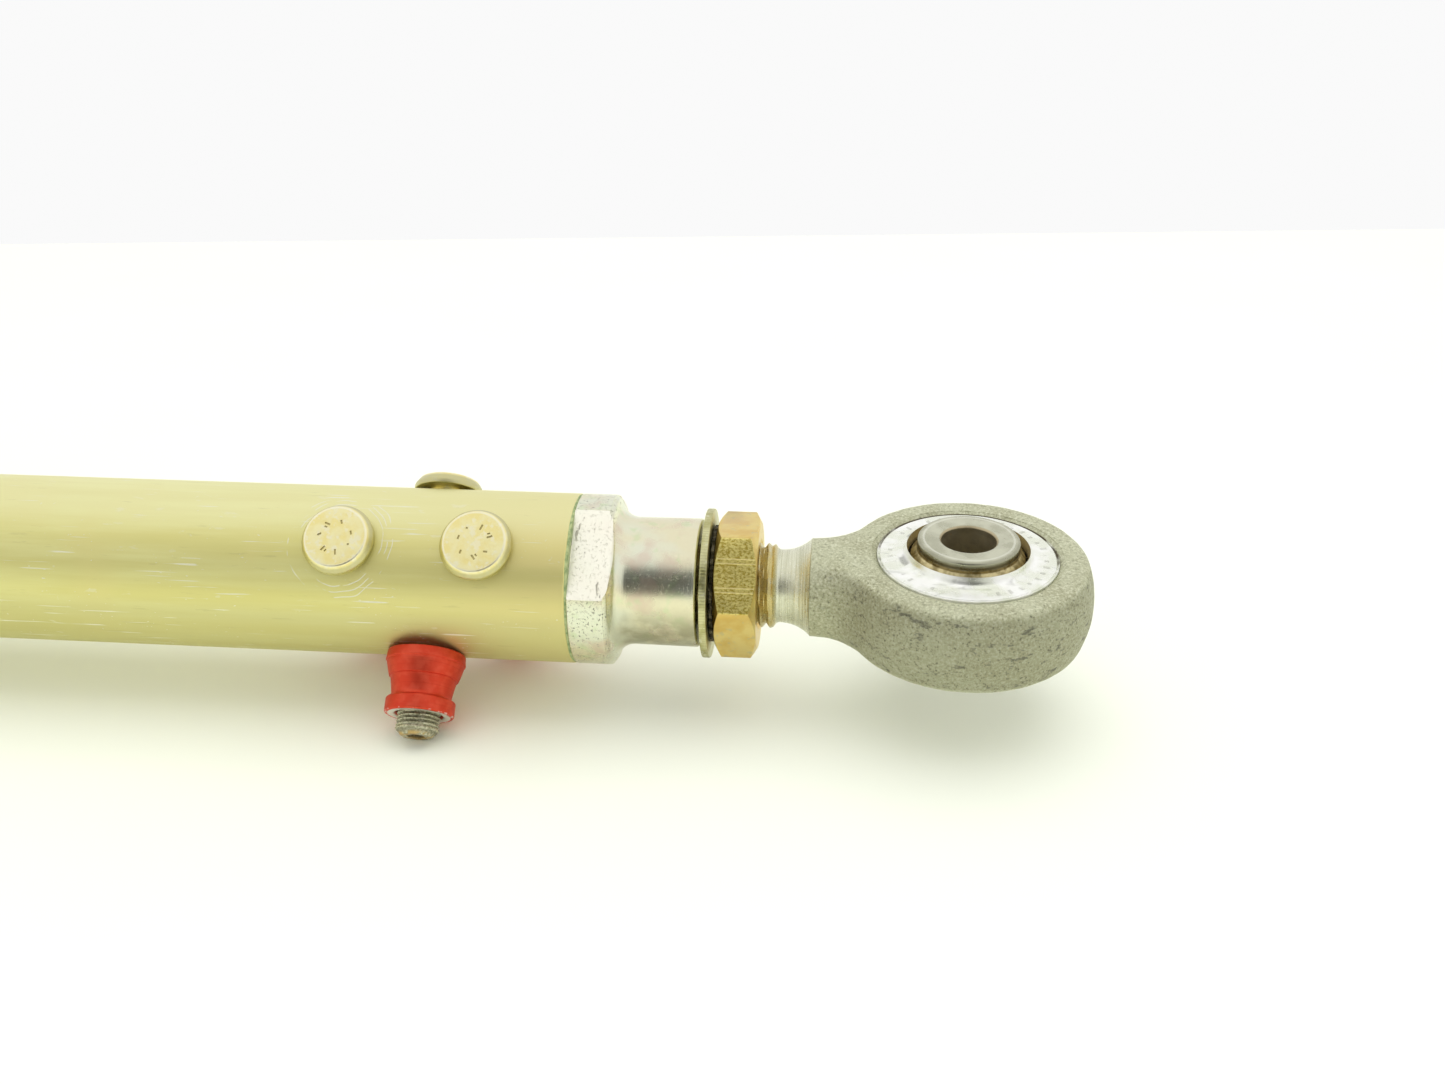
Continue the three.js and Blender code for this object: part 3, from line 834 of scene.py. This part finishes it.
def washer_material():
    s = Shader("olive_washer")
    cloud = s.noise(s.row, 0.5, 3.0)
    colour = s.mix(s.step(cloud, 0.35, 0.65), (0.44, 0.42, 0.17), (0.66, 0.64, 0.36))
    ticks = s.step(s.math("COSINE", s.times(s.angle, 150.0)), 0.4, 0.95)
    rim = s.step(s.radius, 10.95, 11.02)
    colour = s.mix(s.times(ticks, rim, 0.3), colour, (0.26, 0.24, 0.09))
    scuffs = s.step(s.noise(s.row, 1.2, 3.0), 0.6, 0.66)
    colour = s.mix(s.times(scuffs, 0.5), colour, (0.80, 0.79, 0.62))
    lay = s.noise(s.scaled(s.row, (3.0, 1.0, 1.0)), 1.6, 2.0)
    return s.finish(colour, s.step(cloud, 0.35, 0.65, 0.3, 0.42), lay, 0.04)


def lock_ring_material():
    s = Shader("dark_lock_ring")
    cloud = s.noise(s.row, 1.2, 3.0)
    colour = s.mix(s.step(cloud, 0.45, 0.65), (0.05, 0.045, 0.03), (0.24, 0.22, 0.16))
    return s.finish(colour, s.step(cloud, 0.4, 0.6, 0.45, 0.65), cloud, 0.06)


def forging_material():
    s = Shader("grit_blasted_forging")
    grain = s.noise(s.row, 2.5, 4.0, 0.75)
    coarse = s.noise(s.row, 0.9, 3.0, 0.6)
    cloud = s.noise(s.row, 0.16, 3.0)
    colour = s.mix(s.step(cloud, 0.35, 0.65), (0.53, 0.53, 0.35), (0.61, 0.62, 0.43))
    colour = s.mix(s.step(grain, 0.48, 0.64, 0.0, 0.75), colour, (0.82, 0.83, 0.64))
    # Painted shade darkens the eye's outer wall, which also has dark smears.
    wall = s.step(s.math("ABSOLUTE", s.z), 5.2, 6.2, 1.0, 0.0)
    wall = s.times(wall, s.step(s.x, -22.0, -15.0, 0.3, 1.0))
    colour = s.mix(s.times(wall, 0.52), colour, (0.24, 0.235, 0.15))
    specks = s.times(s.step(grain, 0.44, 0.37, 0.0, 1.0), s.step(coarse, 0.38, 0.56, 0.1, 1.0))
    colour = s.mix(s.times(specks, s.plus(s.times(wall, 0.35), 0.5)), colour, (0.12, 0.115, 0.08))
    smears = s.step(s.noise(s.scaled(s.row, (0.45, 0.45, 1.1)), 0.6, 4.0, 0.75), 0.56, 0.66)
    colour = s.mix(s.times(smears, wall, 0.7), colour, (0.10, 0.10, 0.08))
    # The turned neck and thread are bare and bright, with a little gold left in the thread.
    turned = s.step(s.x, BODY_NECK - 0.12, BODY_NECK + 0.02, 1.0, 0.0)
    lines = s.noise(s.scaled(s.own, (5.5, 0.12, 0.12)), 1.0, 2.0)
    bright = s.mix(s.step(lines, 0.35, 0.65), (0.58, 0.58, 0.42), (0.74, 0.74, 0.58))
    gold = s.times(s.step(s.x, -27.9, -27.3, 1.0, 0.0), s.step(coarse, 0.3, 0.5, 0.5, 1.0))
    bright = s.mix(gold, bright, s.mix(coarse, (0.50, 0.38, 0.13), (0.66, 0.58, 0.28)))
    colour = s.mix(turned, colour, bright)
    roughness = s.math("SUBTRACT", s.step(grain, 0.4, 0.6, 0.62, 0.5), s.times(turned, 0.24))
    rough_skin = s.times(s.invert(turned), s.plus(s.times(grain, 1.4), s.times(coarse, 0.7)))
    height = s.plus(rough_skin, s.times(turned, lines, 0.4))
    return s.finish(colour, roughness, height, 0.14, metallic=0.85)


def race_material():
    s = Shader("bright_race")
    lay = s.noise(s.scaled(s.own, (0.35, 0.35, 1.0)), 1.0, 2.0)
    rings = s.math("SINE", s.times(s.radius, 22.0))
    cloud = s.noise(s.row, 0.3, 3.0)
    colour = s.mix(s.step(cloud, 0.35, 0.65), (0.82, 0.84, 0.72), (0.99, 0.99, 0.95))
    # A ring of plain etched ticks, in uneven groups.
    turns = s.times(s.angle, 38 / (2 * math.pi))
    off_middle = s.math("ABSOLUTE", s.math("SUBTRACT", s.math("FRACT", turns), 0.5))
    tick = s.step(off_middle, 0.1, 0.16, 1.0, 0.0)
    group = s.step(s.noise(s.scaled(s.own, (0.25, 0.25, 0.0)), 1.0, 1.0), 0.45, 0.5)
    length = s.step(s.noise(s.scaled(s.own, (0.9, 0.9, 0.0)), 1.0, 1.0), 0.4, 0.6, 11.9, 11.5)
    ring = s.times(s.step(s.radius, 10.85, 10.95), s.math("LESS_THAN", s.radius, length))
    ticks = s.times(tick, group, ring)
    colour = s.mix(s.times(ticks, 0.45), colour, (0.45, 0.45, 0.38))
    # The groove is painted dark in uneven patches, more toward the back.
    groove = s.step(s.radius, 12.62, 12.72)
    dirt = s.step(s.plus(s.noise(s.own, 0.35, 3.0), s.times(s.y, 0.03)), 0.45, 0.75)
    colour = s.mix(s.times(groove, dirt), colour, (0.16, 0.135, 0.08))
    # Grease has dried inside the lip, and painted shade darkens its foot in places.
    inner = s.step(s.radius, 8.84, 8.9, 1.0, 0.0)
    grease = s.mix(s.noise(s.own, 0.6, 2.0), (0.36, 0.28, 0.12), (0.70, 0.60, 0.34))
    colour = s.mix(s.times(inner, 0.9), colour, grease)
    here_and_there = s.step(s.noise(s.scaled(s.own, (0.2, 0.2, 0.5)), 1.0, 3.0), 0.5, 0.62)
    foot = s.times(s.band(s.radius, 9.25, 10.1, 0.2), here_and_there)
    colour = s.mix(s.times(foot, 0.6), colour, (0.20, 0.20, 0.18))
    smudge = s.step(s.noise(s.scaled(s.own, (0.35, 1.2, 0.5)), 0.8, 3.0), 0.62, 0.72)
    colour = s.mix(s.times(smudge, 0.3), colour, (0.42, 0.43, 0.39))
    scratches = s.scratches(s.turned(s.own, 35), (0.5, 4.0, 4.0), 0.8, 0.69)
    cuts = s.plus(ticks, s.times(scratches, 0.3))
    height = s.math("SUBTRACT", s.plus(s.times(rings, 0.06), s.times(lay, 0.25)), cuts)
    dull = s.plus(s.times(groove, 0.4), s.times(inner, 0.25))
    roughness = s.plus(s.step(cloud, 0.35, 0.65, 0.24, 0.34), dull)
    return s.finish(colour, roughness, height, 0.05, metallic=0.9)


def liner_material():
    s = Shader("woven_liner")
    weave = s.times(s.math("SINE", s.times(s.angle, 90.0)), s.math("SINE", s.times(s.z, 9.0)))
    colour = s.mix(s.step(weave, -0.3, 0.3), (0.16, 0.11, 0.05), (0.42, 0.31, 0.16))
    return s.finish(colour, 0.75, weave, 0.05, metallic=0.0)


def ball_material():
    s = Shader("ground_ball")
    cloud = s.noise(s.row, 0.35, 3.0)
    rings = s.noise(s.scaled(s.own, (1.0, 1.0, 0.2)), 0.9, 2.0)
    colour = s.mix(s.step(cloud, 0.35, 0.65), (0.47, 0.47, 0.35), (0.62, 0.62, 0.48))
    height_above = s.math("ABSOLUTE", s.z)
    # Old grease has dried brown on the sphere below the neck and inside the bore.
    wavy = s.plus(height_above, s.times(s.noise(s.own, 0.8, 2.0), 0.5))
    sphere = s.step(wavy, 7.85, 8.25, 1.0, 0.0)
    patches = s.step(s.noise(s.own, 0.9, 3.0), 0.35, 0.65)
    brown = s.mix(patches, (0.32, 0.25, 0.10), (0.78, 0.67, 0.36))
    colour = s.mix(s.times(sphere, 0.92), colour, brown)
    # Painted shade darkens the neck's side wall just above the grease.
    wall = s.times(s.band(height_above, 7.85, 8.2, 0.12), s.step(s.radius, 7.1, 7.3))
    colour = s.mix(s.times(wall, 0.6), colour, (0.16, 0.14, 0.09))
    # The neck's rounded edge carries a painted highlight, with painted shade on the rounding below it.
    edge = s.times(s.band(s.radius, 6.35, 6.65, 0.1), s.step(height_above, 8.7, 8.9))
    colour = s.mix(s.times(edge, 0.5), colour, (0.86, 0.86, 0.74))
    dull = s.times(s.step(s.radius, 6.75, 7.2), s.step(height_above, 7.9, 8.2))
    colour = s.mix(s.times(dull, 0.6), colour, (0.28, 0.27, 0.19))
    bore = s.step(s.radius, 4.12, 4.26, 1.0, 0.0)
    rust = s.mix(s.step(s.noise(s.own, 0.6, 3.0), 0.62, 0.74), (0.42, 0.37, 0.25), (0.74, 0.42, 0.10))
    mouth = s.step(height_above, 8.5, 8.75)
    rust = s.mix(s.times(mouth, 0.7), rust, (0.60, 0.50, 0.30))
    colour = s.mix(s.times(bore, 0.9), colour, rust)
    scratches = s.scratches(s.turned(s.own, 20), (0.4, 4.0, 4.0), 0.9, 0.66)
    dirty = s.plus(s.times(sphere, 0.14), s.times(bore, 0.2))
    roughness = s.plus(s.step(cloud, 0.35, 0.65, 0.24, 0.34), dirty)
    return s.finish(colour, roughness, s.plus(s.times(rings, 0.3), s.times(scratches, -0.3)), 0.04)


# ---- Placing ----
def shown(name, mesh, to_row, body, slot, material, *nodes):
    """Puts a piece in the row frame, in metres, with the body it rides on and what it replaces."""
    mesh = mesh.copy()
    own = np.empty(len(mesh.vertices) * 3, np.float32)
    mesh.vertices.foreach_get("co", own)
    attribute = mesh.attributes.new("own_mm", "FLOAT_VECTOR", "POINT")
    attribute.data.foreach_set("vector", own)
    mesh.transform(to_row)
    if to_row.determinant() < 0:
        mesh.flip_normals()
    mesh.shade_smooth()
    mesh.set_sharp_from_angle(angle=math.radians(32))
    mesh.materials.clear()
    mesh.materials.append(material)
    piece = bpy.data.objects.new(name, mesh)
    bpy.context.scene.collection.objects.link(piece)
    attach(piece, body)
    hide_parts(*nodes)
    return piece


def end_frame(letter):
    """From an end's own millimetres to the row's metres."""
    scale = Matrix.Diagonal((SIDES[letter] * MM, MM, MM, 1))
    return Matrix.Translation(EYES[letter]) @ scale


ROLL = Matrix.Rotation(EYE_ROLL, 4, "X")


def build_rod():
    to_row = Matrix.Translation((0, 0, EYES["a"].z)) @ Matrix.Scale(MM, 4) @ ROD_AXIS
    shown("tube_skin", tube(), to_row, "rod", "tube", tube_material(), "tube")


def build_ends():
    rod_end_body = joined(forged_eye(), turned_shank())
    pieces = {
        "end_fitting": (end_fitting(), ROD_AXIS, "rod", "fitting", fitting_material()),
        "sealant_ring": (sealant_ring(), ROD_AXIS, "rod", "sealant", sealant_material()),
        "jam_nut": (jam_nut(), ROD_AXIS, "jam_nut", "nut", nut_material()),
        "key_washer": (key_washer(), ROLL @ ROD_AXIS, "key_washer", "washer", washer_material()),
        "lock_ring": (lock_ring(), ROLL @ ROD_AXIS, "key_washer", "lock_ring", lock_ring_material()),
        "rod_end_body": (rod_end_body, ROLL, "rod_end", "forging", forging_material()),
        "outer_race": (outer_race(), ROLL, "rod_end", "race", race_material()),
        "liner": (liner(), ROLL, "rod_end", "liner", liner_material()),
        "ball": (ball(), ROLL, "ball", "ball", ball_material()),
    }
    pin, ring = fastening_pin(), collar()
    pin_finish, ring_finish = pin_material(), collar_material()
    for number in PIN_ANGLES:
        spin = Matrix.Rotation(1.3 * number, 4, "Z")
        pieces[f"pin_{number}"] = (pin, pin_axis(number) @ spin, "rod", "pin", pin_finish)
        pieces[f"collar_{number}"] = (ring, pin_axis(number) @ spin, "rod", "collar", ring_finish)
    for letter in SIDES:
        for kind, (mesh, turn, body, slot, material) in pieces.items():
            node = f"{kind}_{letter}"
            body_name = body if body == "rod" else f"{body}_{letter}"
            shown(f"{node}_fine", mesh, end_frame(letter) @ turn, body_name, slot, material, node)


# ---- Stage ----
CAMERA_FROM_EYE = Vector((-15.89, -198.78, 100.31))  # mm
CAMERA_ELEVATION = math.radians(25.08)
CAMERA_HEADING = math.radians(5.70)
CAMERA_ROLL = math.radians(-0.36)
CAMERA_LENS = 37.37
FLOOR_BACK = 0.285  # where the floor's back edge crosses the middle
FLOOR_TURN = math.tan(math.radians(6.73))  # how far that edge runs away to the right


def build_camera():
    camera = bpy.data.objects.new("camera", bpy.data.cameras.new("camera"))
    bpy.context.scene.collection.objects.link(camera)
    camera.data.lens = CAMERA_LENS
    camera.data.sensor_width = 36
    camera.data.clip_start = 0.005
    heading = Matrix.Rotation(CAMERA_HEADING, 4, "Z")
    pitch = Matrix.Rotation(math.pi / 2 - CAMERA_ELEVATION, 4, "X")
    roll = Matrix.Rotation(CAMERA_ROLL, 4, "Z")
    place = Matrix.Translation(EYES["a"] + CAMERA_FROM_EYE * MM)
    camera.matrix_world = place @ heading @ pitch @ roll
    bpy.context.scene.camera = camera


def build_floor():
    reach = 2.5
    back = FLOOR_TURN * reach
    corners = [(-reach, -reach, 0), (reach, -reach, 0)]
    corners += [(reach, FLOOR_BACK + back, 0), (-reach, FLOOR_BACK - back, 0)]
    mesh = bpy.data.meshes.new("floor")
    mesh.from_pydata(corners, [], [(0, 1, 2, 3)])
    s = Shader("pale_floor")
    faint = s.noise(s.row, 0.02, 2.0)
    colour = s.mix(faint, (0.91, 0.935, 0.815), (0.93, 0.955, 0.845))
    mesh.materials.append(s.finish(colour, 0.75, metallic=0.0))
    floor = bpy.data.objects.new("floor", mesh)
    bpy.context.scene.collection.objects.link(floor)


def build_world():
    """A white light tent, with the dark opening that the camera looks in through."""
    world = bpy.data.worlds.new("light_tent")
    bpy.context.scene.world = world
    world.use_nodes = True
    tree = world.node_tree
    tree.nodes.clear()

    def math_node(operation, a, b=0.0, clamp=False):
        made = tree.nodes.new("ShaderNodeMath")
        made.operation, made.use_clamp = operation, clamp
        for socket, value in zip(made.inputs, (a, b)):
            if isinstance(value, bpy.types.NodeSocket):
                tree.links.new(value, socket)
            else:
                socket.default_value = value
        return made.outputs[0]

    def toward(direction, low, high):
        """0 below low and 1 above high, of how far a ray points in a direction."""
        facing = tree.nodes.new("ShaderNodeVectorMath")
        facing.operation = "DOT_PRODUCT"
        tree.links.new(coordinates.outputs["Generated"], facing.inputs[0])
        facing.inputs[1].default_value = direction
        ramp = tree.nodes.new("ShaderNodeMapRange")
        ramp.interpolation_type = "SMOOTHSTEP"
        tree.links.new(facing.outputs["Value"], ramp.inputs["Value"])
        ramp.inputs["From Min"].default_value = low
        ramp.inputs["From Max"].default_value = high
        return ramp.outputs[0]

    coordinates = tree.nodes.new("ShaderNodeTexCoord")
    front = math_node("MULTIPLY", toward((0.0, -1.0, 0.0), 0.35, 0.95), 0.3)
    opening = math_node("MULTIPLY", toward((0.0, -0.906, 0.423), 0.86, 0.95), 0.85)
    front_left, opening_left = (math_node("SUBTRACT", 1.0, dark) for dark in (front, opening))
    dimmed = math_node("MULTIPLY", front_left, opening_left)
    tent = math_node("ADD", math_node("MULTIPLY", toward((0.0, 0.0, 1.0), 0.2, 0.9), 0.05), 0.955)
    background = tree.nodes.new("ShaderNodeBackground")
    background.inputs["Color"].default_value = (1.0, 1.0, 1.0, 1.0)
    tree.links.new(math_node("MULTIPLY", tent, dimmed), background.inputs["Strength"])
    output = tree.nodes.new("ShaderNodeOutputWorld")
    tree.links.new(background.outputs[0], output.inputs["Surface"])


def build_lights():
    """Soft boxes overhead and in front, which light the floor and don't show in the metal. Each
    is (place, aim, size, power), in metres and watts."""
    boxes = [
        ((0.15, 0.15, 0.9), (0.15, 0.15, 0.0), 0.9, 2.6),
        ((0.1, -0.8, 0.45), (0.15, 0.0, 0.0), 0.7, 2.2),
    ]
    for place, aim, size, power in boxes:
        data = bpy.data.lights.new("soft_box", "AREA")
        data.size = size
        data.energy = power
        light = bpy.data.objects.new("soft_box", data)
        light.location = place
        light.rotation_euler = (Vector(aim) - Vector(place)).to_track_quat("-Z", "Y").to_euler()
        light.visible_glossy = False
        bpy.context.scene.collection.objects.link(light)


bpy.context.scene.view_settings.view_transform = "Standard"
build_camera()
build_rod()
build_ends()
build_floor()
build_world()
build_lights()
